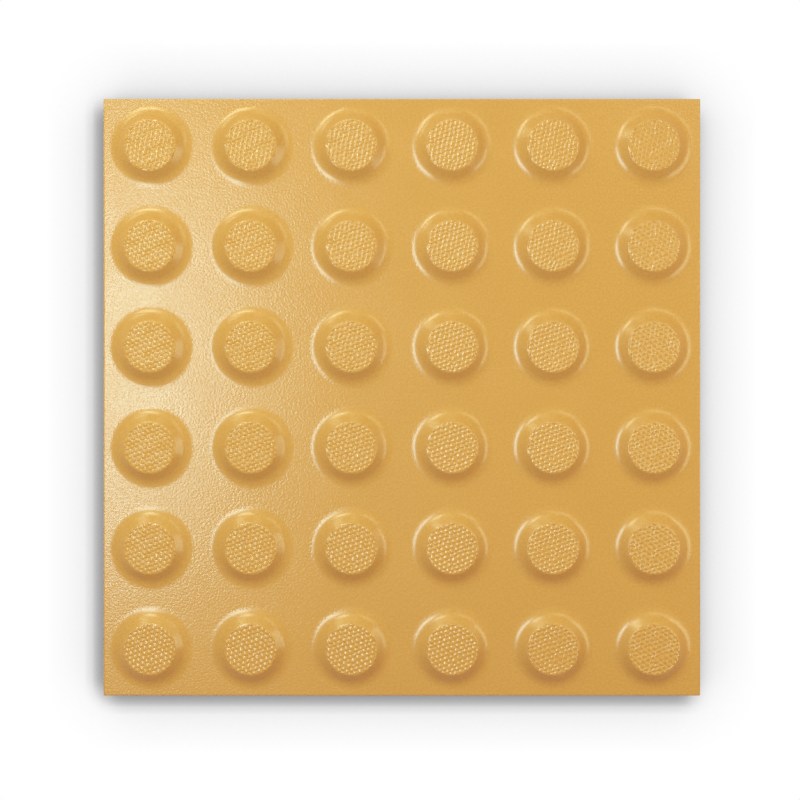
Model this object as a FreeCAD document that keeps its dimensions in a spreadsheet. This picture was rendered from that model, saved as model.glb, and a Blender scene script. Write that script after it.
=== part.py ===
import FreeCAD, Part
import Sketcher
import os

# Tactile paving slab: a square tile with rows of truncated domes, pressed in one piece.
# Millimetres. The bedding face lies on Z = 0, with its centre at the origin.

doc = FreeCAD.newDocument("tactile_slab")

# Driving dimensions
sizes = doc.addObject("Spreadsheet::Sheet", "sizes")
dimensions = {
    "slab_side": "298",             # a 300 module less a 2 joint
    "slab_thickness": "15",         # bedding face to deck
    "arris_radius": "0.6",          # round the deck and down the corners
    "dome_pitch": "50",             # centre to centre, both ways
    "dome_height": "4.5",           # deck to the tops of the tread's pimples
    "dome_tread_diameter": "25",    # where the flank would meet the tread
    "dome_base_diameter": "36",     # where the flank would meet the deck
    "dome_shoulder_radius": "0.6",  # flank into tread
    "dome_cove_radius": "9",        # flank into deck
}
worked_out = {
    "flank_width": "=(dome_base_diameter - dome_tread_diameter) / 2",
    "flank_angle": "=atan(dome_height / flank_width)",
    "half_turn": "=tan(flank_angle / 2)",   # a rounding reaches this many of its radii from its corner
    "flank_room": "=dome_height / sin(flank_angle) - dome_shoulder_radius * half_turn",
    "deck_room": "=(dome_pitch - dome_base_diameter) / 2",
    # The cove leaves a little straight flank above it and a little flat deck between neighbours
    "cove_radius": "=min(dome_cove_radius; 0.95 * min(flank_room; deck_room) / half_turn)",
    # As many domes along a side as stand clear of its edges, coves included
    "domes_per_side": "=floor((slab_side - 2 * arris_radius - dome_base_diameter"
                      " - 2 * cove_radius * half_turn) / dome_pitch) + 1",
}
for row, (alias, value) in enumerate({**dimensions, **worked_out}.items(), start=1):
    sizes.set("A%d" % row, alias)
    sizes.set("B%d" % row, value)
    sizes.setAlias("B%d" % row, alias)
doc.recompute()

slab = doc.addObject("PartDesign::Body", "tactile_slab")
slab.Label = "tactile_slab"


def origin_feature(role):
    return [part for part in slab.Origin.OriginFeatures if part.Role == role][0]


def draw_loop(sketch, points):
    # Straight lines through the points and back to the first, joined end to end
    count = len(points)
    for index, point in enumerate(points):
        start = FreeCAD.Vector(*point, 0)
        end = FreeCAD.Vector(*points[(index + 1) % count], 0)
        sketch.addGeometry(Part.LineSegment(start, end))
    for index in range(count):
        sketch.addConstraint(Sketcher.Constraint("Coincident", index, 2, (index + 1) % count, 1))


def bind(sketch, name, constraint, expression):
    index = sketch.addConstraint(constraint)
    sketch.renameConstraint(index, name)
    sketch.setExpression("Constraints." + name, expression)


def edges_where(feature, test):
    return ["Edge%d" % number for number, edge in enumerate(feature.Shape.Edges, start=1) if test(edge)]


# Square tile
outline = slab.newObject("Sketcher::SketchObject", "slab_outline")
outline.AttachmentSupport = (origin_feature("XY_Plane"), "")
outline.MapMode = "FlatFace"
half = sizes.slab_side / 2
draw_loop(outline, [(-half, -half), (half, -half), (half, half), (-half, half)])
outline.addConstraint(Sketcher.Constraint("Horizontal", 0))
outline.addConstraint(Sketcher.Constraint("Vertical", 1))
outline.addConstraint(Sketcher.Constraint("Horizontal", 2))
outline.addConstraint(Sketcher.Constraint("Vertical", 3))
outline.addConstraint(Sketcher.Constraint("Equal", 0, 1))
outline.addConstraint(Sketcher.Constraint("Symmetric", 0, 1, 2, 1, -1, 1))
bind(outline, "side", Sketcher.Constraint("DistanceX", 0, 1, 0, 2, 2 * half), "sizes.slab_side")

tile = slab.newObject("PartDesign::Pad", "tile")
tile.Profile = outline
tile.setExpression("Length", "sizes.slab_thickness")
doc.recompute()

# Arris round the deck and down the four corners; the bedding face keeps its square edge
arris = slab.newObject("PartDesign::Fillet", "arris")
arris.Base = (tile, edges_where(tile, lambda edge: edge.BoundBox.ZMax > tile.Length.Value / 2))
arris.setExpression("Radius", "sizes.arris_radius")
doc.recompute()

# One dome in the near left corner, drawn about its own axis with the deck as base line
profile = slab.newObject("Sketcher::SketchObject", "dome_profile")
profile.AttachmentSupport = (origin_feature("XZ_Plane"), "")
profile.MapMode = "FlatFace"
profile.setExpression("AttachmentOffset.Base.x", "-(sizes.domes_per_side - 1) * sizes.dome_pitch / 2")
profile.setExpression("AttachmentOffset.Base.y", "sizes.slab_thickness")
profile.setExpression("AttachmentOffset.Base.z", "(sizes.domes_per_side - 1) * sizes.dome_pitch / 2")
base = sizes.dome_base_diameter / 2
tread = sizes.dome_tread_diameter / 2
rise = sizes.dome_height
draw_loop(profile, [(0, 0), (base, 0), (tread, rise), (0, rise)])
profile.addConstraint(Sketcher.Constraint("Coincident", 0, 1, -1, 1))
profile.addConstraint(Sketcher.Constraint("Horizontal", 0))
profile.addConstraint(Sketcher.Constraint("Horizontal", 2))
profile.addConstraint(Sketcher.Constraint("Vertical", 3))
bind(profile, "base", Sketcher.Constraint("DistanceX", 0, 1, 0, 2, base), "sizes.dome_base_diameter / 2")
bind(profile, "tread", Sketcher.Constraint("DistanceX", 2, 2, 2, 1, tread), "sizes.dome_tread_diameter / 2")
bind(profile, "rise", Sketcher.Constraint("DistanceY", 3, 2, 3, 1, rise), "sizes.dome_height")

dome = slab.newObject("PartDesign::Revolution", "dome")
dome.Profile = profile
dome.ReferenceAxis = (profile, ["V_Axis"])
dome.Angle = 360
doc.recompute()

# Rows and columns of domes at one pitch
domes = slab.newObject("PartDesign::LinearPattern", "domes")
domes.Originals = [dome]
domes.Direction = (origin_feature("X_Axis"), [""])
domes.Mode = "Spacing"
domes.setExpression("Offset", "sizes.dome_pitch")
domes.setExpression("Occurrences", "sizes.domes_per_side")
domes.Direction2 = (origin_feature("Y_Axis"), [""])
domes.Mode2 = "Spacing"
domes.Spacings2 = [-1]  # every gap at the pitch, the first one too
domes.setExpression("Offset2", "sizes.dome_pitch")
domes.setExpression("Occurrences2", "sizes.domes_per_side")
slab.Tip = domes
doc.recompute()


def is_ring(edge, level):
    return edge.Closed and not edge.Degenerated and abs(edge.CenterOfMass.z - level) < 1e-4


# Cove at each dome's foot and a tight shoulder round its tread
deck_level = sizes.slab_thickness
tread_level = sizes.slab_thickness + sizes.dome_height
coves = slab.newObject("PartDesign::Fillet", "coves")
coves.Base = (domes, edges_where(domes, lambda edge: is_ring(edge, deck_level)))
coves.setExpression("Radius", "sizes.cove_radius")
doc.recompute()

shoulders = slab.newObject("PartDesign::Fillet", "shoulders")
shoulders.Base = (coves, edges_where(coves, lambda edge: is_ring(edge, tread_level)))
shoulders.setExpression("Radius", "sizes.dome_shoulder_radius")
slab.Tip = shoulders
doc.recompute()

failed = [part.Name for part in doc.Objects if {"Invalid", "Error"} & set(part.State)]
if failed:
    raise SystemExit("failed features: " + ", ".join(failed))
if len(coves.Base[1]) != sizes.domes_per_side ** 2:
    raise SystemExit("a dome is missing from the pattern")
shape = slab.Shape
if shape.isNull() or not shape.isValid() or len(shape.Solids) != 1:
    raise SystemExit("the slab is not one valid solid")

os.makedirs("parts", exist_ok=True)
shape.exportStep("parts/%s.step" % slab.Label)
print("%s: %.1f cm3, %d domes a side" % (slab.Label, shape.Volume / 1000, sizes.domes_per_side))
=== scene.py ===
import math
import bmesh
import bpy
from mathutils import Matrix, Vector


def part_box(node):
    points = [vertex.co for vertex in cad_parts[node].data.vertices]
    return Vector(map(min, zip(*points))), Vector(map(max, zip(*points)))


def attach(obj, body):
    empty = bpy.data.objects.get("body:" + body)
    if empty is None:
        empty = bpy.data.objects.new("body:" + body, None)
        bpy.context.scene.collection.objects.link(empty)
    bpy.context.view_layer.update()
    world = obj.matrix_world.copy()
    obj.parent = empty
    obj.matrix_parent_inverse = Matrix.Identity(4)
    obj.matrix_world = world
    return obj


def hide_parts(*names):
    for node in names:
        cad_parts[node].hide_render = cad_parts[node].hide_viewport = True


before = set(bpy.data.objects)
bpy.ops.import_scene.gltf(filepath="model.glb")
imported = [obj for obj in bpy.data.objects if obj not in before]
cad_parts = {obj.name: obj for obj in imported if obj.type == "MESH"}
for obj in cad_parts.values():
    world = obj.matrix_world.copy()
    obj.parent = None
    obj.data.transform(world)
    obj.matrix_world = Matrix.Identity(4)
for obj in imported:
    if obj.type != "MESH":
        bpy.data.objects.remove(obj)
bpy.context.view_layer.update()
slabLow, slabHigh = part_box("tactile_slab")
mm = 0.001
print("frame:", len(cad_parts), "solid")


# Short ways to add nodes, for shapes and finishes alike
def addNode(tree, kind, inputs=None, **settings):
    made = tree.nodes.new(kind)
    for name, value in settings.items():
        setattr(made, name, value)
    for key, value in (inputs or {}).items():
        if isinstance(value, bpy.types.NodeSocket):
            tree.links.new(value, made.inputs[key])
        else:
            made.inputs[key].default_value = value
    return made


def firstOf(tree, kind, inputs=None, **settings):
    # A new node's first output
    return addNode(tree, kind, inputs, **settings).outputs[0]


def calc(tree, operation, first, second=0.0):
    return firstOf(tree, "ShaderNodeMath", {0: first, 1: second}, operation=operation)


def vector(tree, x=0.0, y=0.0, z=0.0):
    return firstOf(tree, "ShaderNodeCombineXYZ", {"X": x, "Y": y, "Z": z})


def scaled(tree, arrow, factor):
    return firstOf(tree, "ShaderNodeVectorMath", {0: arrow, "Scale": factor}, operation="SCALE")


def lengthOf(tree, arrow):
    return addNode(tree, "ShaderNodeVectorMath", {0: arrow}, operation="LENGTH").outputs["Value"]


def equals(tree, value, number):
    return firstOf(tree, "FunctionNodeCompare", {2: value, 3: number}, data_type="INT", operation="EQUAL")


# Short ways to make geometry
def join(tree, *parts):
    made = tree.nodes.new("GeometryNodeJoinGeometry")
    for part in reversed(parts):
        tree.links.new(part, made.inputs[0])
    return made.outputs[0]


def circle(tree, sides, radius):
    return firstOf(tree, "GeometryNodeCurvePrimitiveCircle", {"Resolution": sides, "Radius": radius})


def pointGrid(tree, pitchX, pitchY, countX, countY):
    sizeX = calc(tree, "MULTIPLY", pitchX, calc(tree, "SUBTRACT", countX, 1.0))
    sizeY = calc(tree, "MULTIPLY", pitchY, calc(tree, "SUBTRACT", countY, 1.0))
    return firstOf(tree, "GeometryNodeMeshGrid", {"Size X": sizeX, "Size Y": sizeY,
                                                  "Vertices X": countX, "Vertices Y": countY})


def movedTo(tree, geometry, place):
    return firstOf(tree, "GeometryNodeSetPosition", {0: geometry, "Position": place})


def raised(tree, geometry, height):
    return firstOf(tree, "GeometryNodeTransform", {0: geometry, "Translation": vector(tree, z=height)})


def filled(tree, *outlines):
    return firstOf(tree, "GeometryNodeFillCurve", {0: join(tree, *outlines)}, mode="TRIANGLES")


def putOn(tree, points, instance):
    return firstOf(tree, "GeometryNodeInstanceOnPoints", {"Points": points, "Instance": instance})


def realized(tree, geometry):
    return firstOf(tree, "GeometryNodeRealizeInstances", {0: geometry})


# The slab: pressed tile, its domes and the pimples on their treads, in millimetres
slab = {
    "arris": 0.6,          # rounding round the deck and down the corners
    "arrisSteps": 3,
    "flatEdge": 0.4,       # narrow flat beside a rounding, keeps the wide faces flat in shading
    "wideFace": 2000,      # square millimetres, a larger face gets that flat
    "domesPerSide": 6,
    "domePitch": 50,
    "domeHeight": 4.5,     # deck to the tops of the pimples
    "rimRadius": 12.8,     # where the flank comes up to the pimples' feet
    "baseRadius": 18,      # where the flank would meet the deck
    "collar": 0.2,         # narrow ring under the rim, keeps the flank even in shading
    "cove": 9,             # hollow rounding at the foot
    "skirt": 3.6,          # ring outside the base circle, takes in the cove
    "coveSteps": 8,
    "domeSides": 64,
    "pimplePitch": 2.5,    # along a row
    "rowPitch": 2.12,      # from row to row
    "rowTilt": 20,         # degrees, rows rise to the right
    "spotsPerRow": 14,     # enough to cover a tread
    "spotRows": 16,        # an even number, so that odd spots make up the odd rows
    "jitter": 0.7,         # how far out of place a pimple stands
    "pimpleRelief": 0.5,
    "lowestShare": 0.8,    # lowest pimple against the highest
    "waistShare": 0.3,     # of a pimple's height, where its waist lies
    "pimpleWaist": 0.8,    # share of a pimple's width left at its waist
    "pimpleTop": 0.22,     # and of that left at its top
    "rimOver": 0.4,        # how far past the rim a pimple's middle may lie
    "rimFlat": 0.03,       # plain ring left inside the rim
    "mergeWithin": 0.01,   # points closer than this become one
    "sharpAngle": 60,      # degrees, flatter edges are shaded smooth
    "seed": 7,
}
slabSide = slabHigh[0] - slabLow[0]
deckLevel = slabHigh[2] - slab["domeHeight"] * mm


def pressTile(piece):
    # Tile body with rounded arrises, open where the deck goes
    mesh = bmesh.new()
    block = Matrix.LocRotScale((0, 0, deckLevel / 2), None, (slabSide, slabSide, deckLevel))
    bmesh.ops.create_cube(mesh, size=1, matrix=block)
    edges = [edge for edge in mesh.edges if max(point.co.z for point in edge.verts) > deckLevel / 2]
    bmesh.ops.bevel(mesh, geom=edges, offset=slab["arris"] * mm, segments=slab["arrisSteps"],
                    profile=0.5, affect="EDGES")
    wide = [face for face in mesh.faces if face.calc_area() > slab["wideFace"] * mm * mm]
    bmesh.ops.inset_individual(mesh, faces=wide, thickness=slab["flatEdge"] * mm, use_even_offset=True)
    deck = max(wide, key=lambda face: face.calc_center_median().z)
    bmesh.ops.delete(mesh, geom=[deck], context="FACES_ONLY")
    mesh.to_mesh(piece.data)
    mesh.free()


def sweepFlank(tree, given, treadLevel):
    # Cove and straight cone up to the tread's rim, swept round the base circle
    index = firstOf(tree, "GeometryNodeInputIndex")
    inward = calc(tree, "SUBTRACT", given["Rim radius"], given["Base radius"])
    skirtEnd, foot = vector(tree, given["Skirt"]), vector(tree)
    rim = vector(tree, inward, calc(tree, "MULTIPLY", treadLevel, -1.0))
    collarShare = calc(tree, "SUBTRACT", 1.0, calc(tree, "DIVIDE", given["Collar"], treadLevel))
    corners = [skirtEnd, foot, scaled(tree, rim, collarShare), rim]
    pick = addNode(tree, "GeometryNodeIndexSwitch", {"Index": index}, data_type="VECTOR")
    while len(pick.index_switch_items) < len(corners):
        pick.index_switch_items.new()
    for slot, corner in enumerate(corners, start=1):
        tree.links.new(corner, pick.inputs[slot])
    line = firstOf(tree, "GeometryNodeMeshLine", {"Count": len(corners)})
    line = firstOf(tree, "GeometryNodeMeshToCurve", {0: line})
    line = movedTo(tree, line, pick.outputs[0])
    bend = calc(tree, "MULTIPLY", equals(tree, index, corners.index(foot)), given["Cove"])
    profile = firstOf(tree, "GeometryNodeFilletCurve", {"Curve": line, "Count": given["Cove steps"],
                                                        "Radius": bend, "Limit Radius": True}, mode="POLY")
    baseCircle = circle(tree, given["Dome sides"], given["Base radius"])
    return firstOf(tree, "GeometryNodeCurveToMesh", {0: baseCircle, 1: profile})


def spreadSpots(tree, given):
    # Leaning rows, every other row half a pitch along, each spot a little out of place
    pitch = given["Pimple pitch"]
    spots = pointGrid(tree, pitch, given["Row pitch"], given["Spots per row"], given["Spot rows"])
    odd = calc(tree, "MODULO", firstOf(tree, "GeometryNodeInputIndex"), 2.0)
    halfPitch = calc(tree, "MULTIPLY", pitch, 0.5)
    along = calc(tree, "MULTIPLY", calc(tree, "SUBTRACT", odd, 0.5), halfPitch)
    spread = vector(tree, given["Jitter"], given["Jitter"])
    shake = firstOf(tree, "FunctionNodeRandomValue", {0: scaled(tree, spread, -1.0), 1: spread,
                                                      "Seed": given["Seed"]}, data_type="FLOAT_VECTOR")
    offset = firstOf(tree, "ShaderNodeVectorMath", {0: shake, 1: vector(tree, along)})
    spots = firstOf(tree, "GeometryNodeSetPosition", {0: spots, "Offset": offset})
    position = firstOf(tree, "GeometryNodeInputPosition")
    leaning = firstOf(tree, "ShaderNodeVectorRotate", {"Vector": position, "Angle": given["Row tilt"]},
                      rotation_type="Z_AXIS")
    return movedTo(tree, spots, leaning)


def pimpleFeet(tree, given, spots):
    # One cell round each spot, those at the rim drawn in to stay on the tread
    position = firstOf(tree, "GeometryNodeInputPosition")
    reach = lengthOf(tree, position)
    spots = firstOf(tree, "GeometryNodeTriangulate", {0: spots})
    feet = firstOf(tree, "GeometryNodeDualMesh", {0: spots})
    limit = calc(tree, "ADD", given["Rim radius"], given["Rim over"])
    outside = firstOf(tree, "FunctionNodeCompare", {0: reach, 1: limit}, operation="GREATER_THAN")
    feet = firstOf(tree, "GeometryNodeDeleteGeometry", {0: feet, 1: outside}, domain="FACE")
    within = calc(tree, "SUBTRACT", given["Rim radius"], given["Rim flat"])
    drawIn = calc(tree, "MINIMUM", 1.0, calc(tree, "DIVIDE", within, reach))
    return movedTo(tree, feet, scaled(tree, position, drawIn))


def raisePimples(tree, given, feet):
    # Each cell goes up in two steps that draw in towards its top
    waistRise = calc(tree, "MULTIPLY", given["Pimple relief"], given["Waist share"])
    topRise = calc(tree, "SUBTRACT", given["Pimple relief"], waistRise)
    pimples, tops = feet, True
    for width, rise in ((given["Pimple waist"], waistRise), (given["Pimple top"], topRise)):
        lowest = calc(tree, "MULTIPLY", rise, given["Lowest share"])
        lift = addNode(tree, "FunctionNodeRandomValue",
                       {2: lowest, 3: rise, "Seed": given["Seed"]}).outputs[1]
        step = addNode(tree, "GeometryNodeExtrudeMesh", {0: pimples, "Selection": tops, "Offset Scale": lift,
                                                         "Offset": vector(tree, z=1.0)}, mode="FACES").outputs
        pimples, tops = step["Mesh"], step["Top"]
        pimples = firstOf(tree, "GeometryNodeScaleElements", {0: pimples, "Selection": tops, "Scale": width})
    return pimples


def slabTree(inputs):
    tree = bpy.data.node_groups.new("domed slab", "GeometryNodeTree")
    tree.interface.new_socket("Tile", in_out="INPUT", socket_type="NodeSocketGeometry")
    for name, value in inputs.items():
        kind = "NodeSocketInt" if isinstance(value, int) else "NodeSocketFloat"
        tree.interface.new_socket(name, in_out="INPUT", socket_type=kind)
    tree.interface.new_socket("Ceramic", in_out="INPUT", socket_type="NodeSocketMaterial")
    tree.interface.new_socket("Slab", in_out="OUTPUT", socket_type="NodeSocketGeometry")
    given = tree.nodes.new("NodeGroupInput").outputs

    # One dome, its tread filled in between the rim circle and the outermost feet
    treadLevel = calc(tree, "SUBTRACT", given["Dome height"], given["Pimple relief"])
    flank = sweepFlank(tree, given, treadLevel)
    feet = pimpleFeet(tree, given, spreadSpots(tree, given))
    pimples = raisePimples(tree, given, feet)
    outermost = equals(tree, firstOf(tree, "GeometryNodeInputMeshEdgeNeighbors"), 1)
    fringe = firstOf(tree, "GeometryNodeMeshToCurve", {0: feet, 1: outermost})
    ring = filled(tree, circle(tree, given["Dome sides"], given["Rim radius"]), fringe)
    crown = raised(tree, join(tree, ring, pimples), treadLevel)
    dome = realized(tree, join(tree, flank, crown))

    # Domes on a square grid, and the deck filled in round their skirts
    pitch, count = given["Dome pitch"], given["Domes per side"]
    grid = pointGrid(tree, pitch, pitch, count, count)
    skirtRadius = calc(tree, "ADD", given["Base radius"], given["Skirt"])
    skirts = realized(tree, putOn(tree, grid, circle(tree, given["Dome sides"], skirtRadius)))
    border = firstOf(tree, "GeometryNodeCurvePrimitiveQuadrilateral",
                     {"Width": given["Deck side"], "Height": given["Deck side"]})
    deck = filled(tree, border, skirts)
    walked = raised(tree, join(tree, deck, putOn(tree, grid, dome)), given["Deck level"])
    whole = realized(tree, join(tree, given["Tile"], walked))
    whole = firstOf(tree, "GeometryNodeMergeByDistance", {0: whole, "Distance": given["Merge within"]})
    whole = firstOf(tree, "GeometryNodeSetMaterial", {0: whole, "Material": given["Ceramic"]})
    addNode(tree, "NodeGroupOutput", {0: whole})
    return tree


def makeSlab(ceramic):
    piece = bpy.data.objects.new("domedSlab", bpy.data.meshes.new("domedSlab"))
    bpy.context.scene.collection.objects.link(piece)
    pressTile(piece)
    inputs = {
        "Deck side": slabSide - 2 * (slab["arris"] + slab["flatEdge"]) * mm,
        "Deck level": deckLevel,
        "Domes per side": slab["domesPerSide"],
        "Dome pitch": slab["domePitch"] * mm,
        "Dome height": slab["domeHeight"] * mm,
        "Rim radius": slab["rimRadius"] * mm,
        "Base radius": slab["baseRadius"] * mm,
        "Collar": slab["collar"] * mm,
        "Cove": slab["cove"] * mm,
        "Skirt": slab["skirt"] * mm,
        "Cove steps": slab["coveSteps"],
        "Dome sides": slab["domeSides"],
        "Pimple pitch": slab["pimplePitch"] * mm,
        "Row pitch": slab["rowPitch"] * mm,
        "Row tilt": math.radians(slab["rowTilt"]),
        "Spots per row": slab["spotsPerRow"],
        "Spot rows": slab["spotRows"],
        "Jitter": slab["jitter"] * mm,
        "Pimple relief": slab["pimpleRelief"] * mm,
        "Lowest share": slab["lowestShare"],
        "Waist share": slab["waistShare"],
        "Pimple waist": slab["pimpleWaist"],
        "Pimple top": slab["pimpleTop"],
        "Rim over": slab["rimOver"] * mm,
        "Rim flat": slab["rimFlat"] * mm,
        "Merge within": slab["mergeWithin"] * mm,
        "Seed": slab["seed"],
    }
    grow = piece.modifiers.new("domes", "NODES")
    grow.node_group = slabTree(inputs)
    sockets = {item.name: item.identifier for item in grow.node_group.interface.items_tree
               if item.in_out == "INPUT"}
    for name, value in inputs.items():
        grow[sockets[name]] = value
    grow[sockets["Ceramic"]] = ceramic
    graph = bpy.context.evaluated_depsgraph_get()
    solid = bpy.data.meshes.new_from_object(piece.evaluated_get(graph))
    piece.modifiers.clear()
    piece.data = solid
    mesh = bmesh.new()
    mesh.from_mesh(solid)
    bmesh.ops.recalc_face_normals(mesh, faces=mesh.faces)
    loose = [edge for edge in mesh.edges if not edge.is_manifold]
    mesh.to_mesh(solid)
    mesh.free()
    solid.shade_smooth()
    solid.set_sharp_from_angle(angle=math.radians(slab["sharpAngle"]))
    solid.calc_loop_triangles()
    print("slab:", len(solid.loop_triangles), "triangles,", len(loose), "open edges")
    return piece


# Satin fired ceramic: a thin glaze over the walked side, bare body on the sides and underneath
glaze = {
    "colour": (0.685, 0.393, 0.090, 1),
    "deepColour": (0.605, 0.333, 0.071, 1),  # where the glaze lies thicker
    "bodyColour": (0.70, 0.42, 0.13, 1),     # bare pressed body
    "deckRoughness": (0.22, 0.29),           # shiniest and dullest glaze between the domes
    "flankRoughness": 0.26,
    "treadRoughness": 0.2,                   # rubbed smooth by feet
    "bodyRoughness": 0.62,
    "paintedTreadSheen": 0.15,                          # painted sheen: how much paler the treads are made, standing in for the whitish highlights their pimples scatter
    "cloud": (26, 3.0),                      # slow change of tone: millimetres across, detail
    "speck": (1.0, 1.0),                     # fine mottling, the same way
    "speckShare": 0.75,                      # of the change of tone
    "peel": (1.15, 2.0),                     # orange peel, the same way
    "peelDepth": 0.15,                       # millimetres
    "noiseSpan": (0.3, 0.7),                 # where nearly all of a noise lies
    "glazedFrom": (-2.2, -0.8),              # millimetres above the deck, from bare body to full glaze
    "peelFade": (0.02, 0.3),                 # where the peel runs out up a cove
    "treadFrom": (3.6, 3.9),                 # where the flank turns into the tread
}


def ramp(tree, value, start, end, low=0.0, high=1.0):
    return firstOf(tree, "ShaderNodeMapRange", {"Value": value, "From Min": start, "From Max": end,
                                                "To Min": low, "To Max": high})


def mixValue(tree, share, first, second):
    return firstOf(tree, "ShaderNodeMix", {"Factor": share, 2: first, 3: second})


def mixColour(tree, share, first, second):
    inputs = {"Factor": share, 6: first, 7: second}
    return addNode(tree, "ShaderNodeMix", inputs, data_type="RGBA").outputs[2]


def noise(tree, place, across, detail):
    return firstOf(tree, "ShaderNodeTexNoise", {"Vector": place, "Scale": 1 / (across * mm), "Detail": detail})


def levels(span):
    # Two heights above the deck, in the slab's own coordinates
    return [deckLevel + height * mm for height in span]


def ochreCeramic():
    material = bpy.data.materials.new("ochreCeramic")
    material.use_nodes = True
    tree = material.node_tree
    shader = tree.nodes["Principled BSDF"].inputs
    place = tree.nodes.new("ShaderNodeTexCoord").outputs["Object"]
    height = addNode(tree, "ShaderNodeSeparateXYZ", {0: place}).outputs["Z"]
    glazed = ramp(tree, height, *levels(glaze["glazedFrom"]))
    onDeck = ramp(tree, height, *levels(glaze["peelFade"]), 1.0, 0.0)
    onTread = ramp(tree, height, *levels(glaze["treadFrom"]))

    # Colour: cloudy and specked where the glaze is thicker or thinner, with painted sheen making the treads
    # paler
    cloud = noise(tree, place, *glaze["cloud"])
    speck = ramp(tree, noise(tree, place, *glaze["speck"]), *glaze["noiseSpan"])
    thinGlazeAndTreadSheen = mixValue(tree, glaze["speckShare"], cloud, speck)
    # Painted sheen: the treads are made paler, standing in for the whitish highlights scattered by their
    # pimples
    thinGlazeAndTreadSheen = calc(tree, "ADD", thinGlazeAndTreadSheen, calc(tree, "MULTIPLY", onTread, glaze["paintedTreadSheen"]))
    tone = mixColour(tree, thinGlazeAndTreadSheen, glaze["deepColour"], glaze["colour"])
    tree.links.new(mixColour(tree, glazed, glaze["bodyColour"], tone), shader["Base Color"])

    # Sheen of the deck, flanks and treads, and orange peel on the deck
    deckSheen = ramp(tree, cloud, *glaze["noiseSpan"], *glaze["deckRoughness"])
    domeSheen = mixValue(tree, onTread, glaze["flankRoughness"], glaze["treadRoughness"])
    sheen = mixValue(tree, onDeck, domeSheen, deckSheen)
    tree.links.new(mixValue(tree, glazed, glaze["bodyRoughness"], sheen), shader["Roughness"])
    bump = firstOf(tree, "ShaderNodeBump", {"Height": noise(tree, place, *glaze["peel"]),
                                            "Distance": glaze["peelDepth"] * mm, "Strength": onDeck})
    tree.links.new(bump, shader["Normal"])
    print("ceramic:", len(tree.nodes), "nodes")
    return material


# Camera straight above, over the slab's middle
view = {
    "height": 540,            # millimetres above the deck
    "aside": (-0.93, -1.38),  # millimetres from the slab's centre
    "across": 399.2,          # millimetres of deck that fill the picture
    "sensor": 36,
    "nearest": 10,            # millimetres, nothing closer is drawn
}


def placeCamera():
    camera = bpy.data.objects.new("camera", bpy.data.cameras.new("camera"))
    bpy.context.scene.collection.objects.link(camera)
    camera.location = (view["aside"][0] * mm, view["aside"][1] * mm, deckLevel + view["height"] * mm)
    camera.data.sensor_width = view["sensor"]
    camera.data.lens = view["sensor"] * view["height"] / view["across"]
    camera.data.clip_start = view["nearest"] * mm
    bpy.context.scene.camera = camera
    print("camera:", view["height"], "mm above the deck")


# Studio: soft lamps as (place and size in metres, power, colour), aimed at the slab
windowTint = (0.62, 1.0, 1.05)
lampTint = (0.78, 1.0, 0.72)
studio = {
    "leftWindow": ((-0.34, 0.045, 0.8), (0.5, 0.16), 4.1, windowTint),
    "upperLeft": ((-0.4, 0.74, 0.8), (0.4, 0.25), 3.85, lampTint),
    "upperRight": ((0.45, 0.55, 0.8), (0.5, 0.25), 1.2, lampTint),
    "backLeft": ((-0.58, 0.74, 0.38), (0.3, 0.2), 0.95, lampTint),
    "backLow": ((0.0, 0.7, 0.37), (0.25, 0.4), 0.32, lampTint),
    "rightPanel": ((0.55, 0.0, 0.365), (0.5, 0.18), 1.3, lampTint),
}
surround = {
    "ambient": (0.41, 0.085, 0.13, 1),   # light from all round, warm
    "backdrop": (0.32, 0.32, 0.32, 1),   # what is seen past the white floor, and mirrored
}


def seenRays(tree):
    # 1 for rays that show the surroundings, 0 for those that light the slab
    ray = tree.nodes.new("ShaderNodeLightPath").outputs
    mirrored = calc(tree, "MAXIMUM", ray["Is Glossy Ray"], ray["Is Transmission Ray"])
    return calc(tree, "MAXIMUM", ray["Is Camera Ray"], mirrored)


def lightStudio():
    scene = bpy.context.scene
    for name, (place, size, power, colour) in studio.items():
        lamp = bpy.data.lights.new(name, "AREA")
        lamp.shape = "RECTANGLE"
        lamp.size, lamp.size_y = size
        lamp.energy = power
        lamp.color = colour
        holder = bpy.data.objects.new(name, lamp)
        holder.location = place
        holder.rotation_euler = (-Vector(place)).to_track_quat("-Z", "Y").to_euler()
        scene.collection.objects.link(holder)
    scene.world = bpy.data.worlds.new("studio")
    scene.world.use_nodes = True
    tree = scene.world.node_tree
    around = mixColour(tree, seenRays(tree), surround["ambient"], surround["backdrop"])
    tree.links.new(around, tree.nodes["Background"].inputs["Color"])
    print("studio:", len(studio), "lamps")


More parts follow.
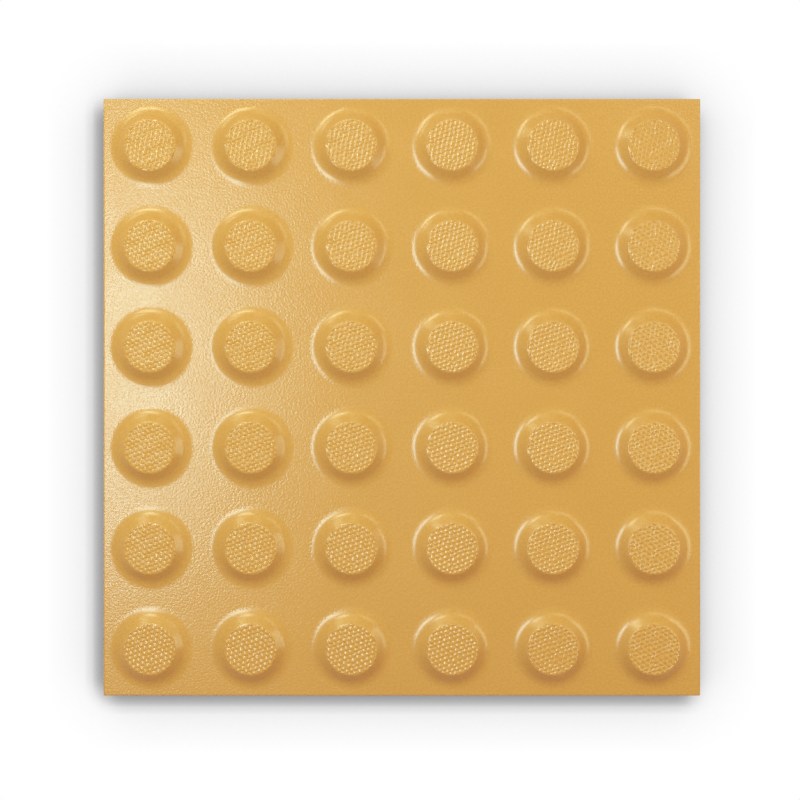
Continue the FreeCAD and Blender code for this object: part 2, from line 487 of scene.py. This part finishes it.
# White floor: seen plain white, shaded only where the slab shuts out the light beside it
floorLook = {
    "half": 3.0,           # metres
    "white": (0.32, 0.7),  # metres from the slab's middle, where white begins to dim and meets the backdrop
    "drop": 0.2,           # millimetres under the bedding face
    "bounce": 0.9,         # what it throws back onto the slab
    "shades": {            # millimetres reached, degrees it leans to the near left, depth, power of the fall
        "soft": (34, 0, 0.6, 0.8),
        "near": (14, 45, 0.5, 0.65),
        "contact": (10, 60, 0.7, 0.65),
    },
    "shadeSamples": 8,
}


def shadeLayer(tree, reach, lean, depth, power):
    aside = math.sin(math.radians(lean)) * math.sqrt(0.5)
    facing = vector(tree, aside, aside, math.cos(math.radians(lean)))
    light = addNode(tree, "ShaderNodeAmbientOcclusion", {"Distance": reach * mm, "Normal": facing},
                    samples=floorLook["shadeSamples"]).outputs["AO"]
    shutOut = calc(tree, "POWER", calc(tree, "SUBTRACT", 1.0, light), power)
    return calc(tree, "SUBTRACT", 1.0, calc(tree, "MULTIPLY", shutOut, depth))


def layFloor():
    mesh = bpy.data.meshes.new("floor")
    half = floorLook["half"]
    low = slabLow[2] - floorLook["drop"] * mm
    corners = [(-half, -half, low), (half, -half, low), (half, half, low), (-half, half, low)]
    mesh.from_pydata(corners, [], [(0, 1, 2, 3)])
    floor = bpy.data.objects.new("floor", mesh)
    bpy.context.scene.collection.objects.link(floor)
    white = bpy.data.materials.new("whiteFloor")
    white.use_nodes = True
    tree = white.node_tree
    tree.nodes.remove(tree.nodes["Principled BSDF"])
    bounce = floorLook["bounce"]
    diffuse = firstOf(tree, "ShaderNodeBsdfDiffuse", {"Color": (bounce, bounce, bounce, 1)})
    away = lengthOf(tree, tree.nodes.new("ShaderNodeTexCoord").outputs["Object"])
    bright = ramp(tree, away, *floorLook["white"], 1.0, surround["backdrop"][0])
    for settings in floorLook["shades"].values():
        bright = calc(tree, "MULTIPLY", bright, shadeLayer(tree, *settings))
    glow = firstOf(tree, "ShaderNodeEmission", {"Strength": bright})
    look = firstOf(tree, "ShaderNodeMixShader", {0: seenRays(tree), 1: diffuse, 2: glow})
    tree.links.new(look, tree.nodes["Material Output"].inputs["Surface"])
    mesh.materials.append(white)
    print("floor:", len(floorLook["shades"]), "layers of shade")


placeCamera()
lightStudio()
layFloor()
domedSlab = makeSlab(ochreCeramic())
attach(domedSlab, "root")
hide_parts("tactile_slab")
bpy.context.scene.view_settings.view_transform = "Standard"
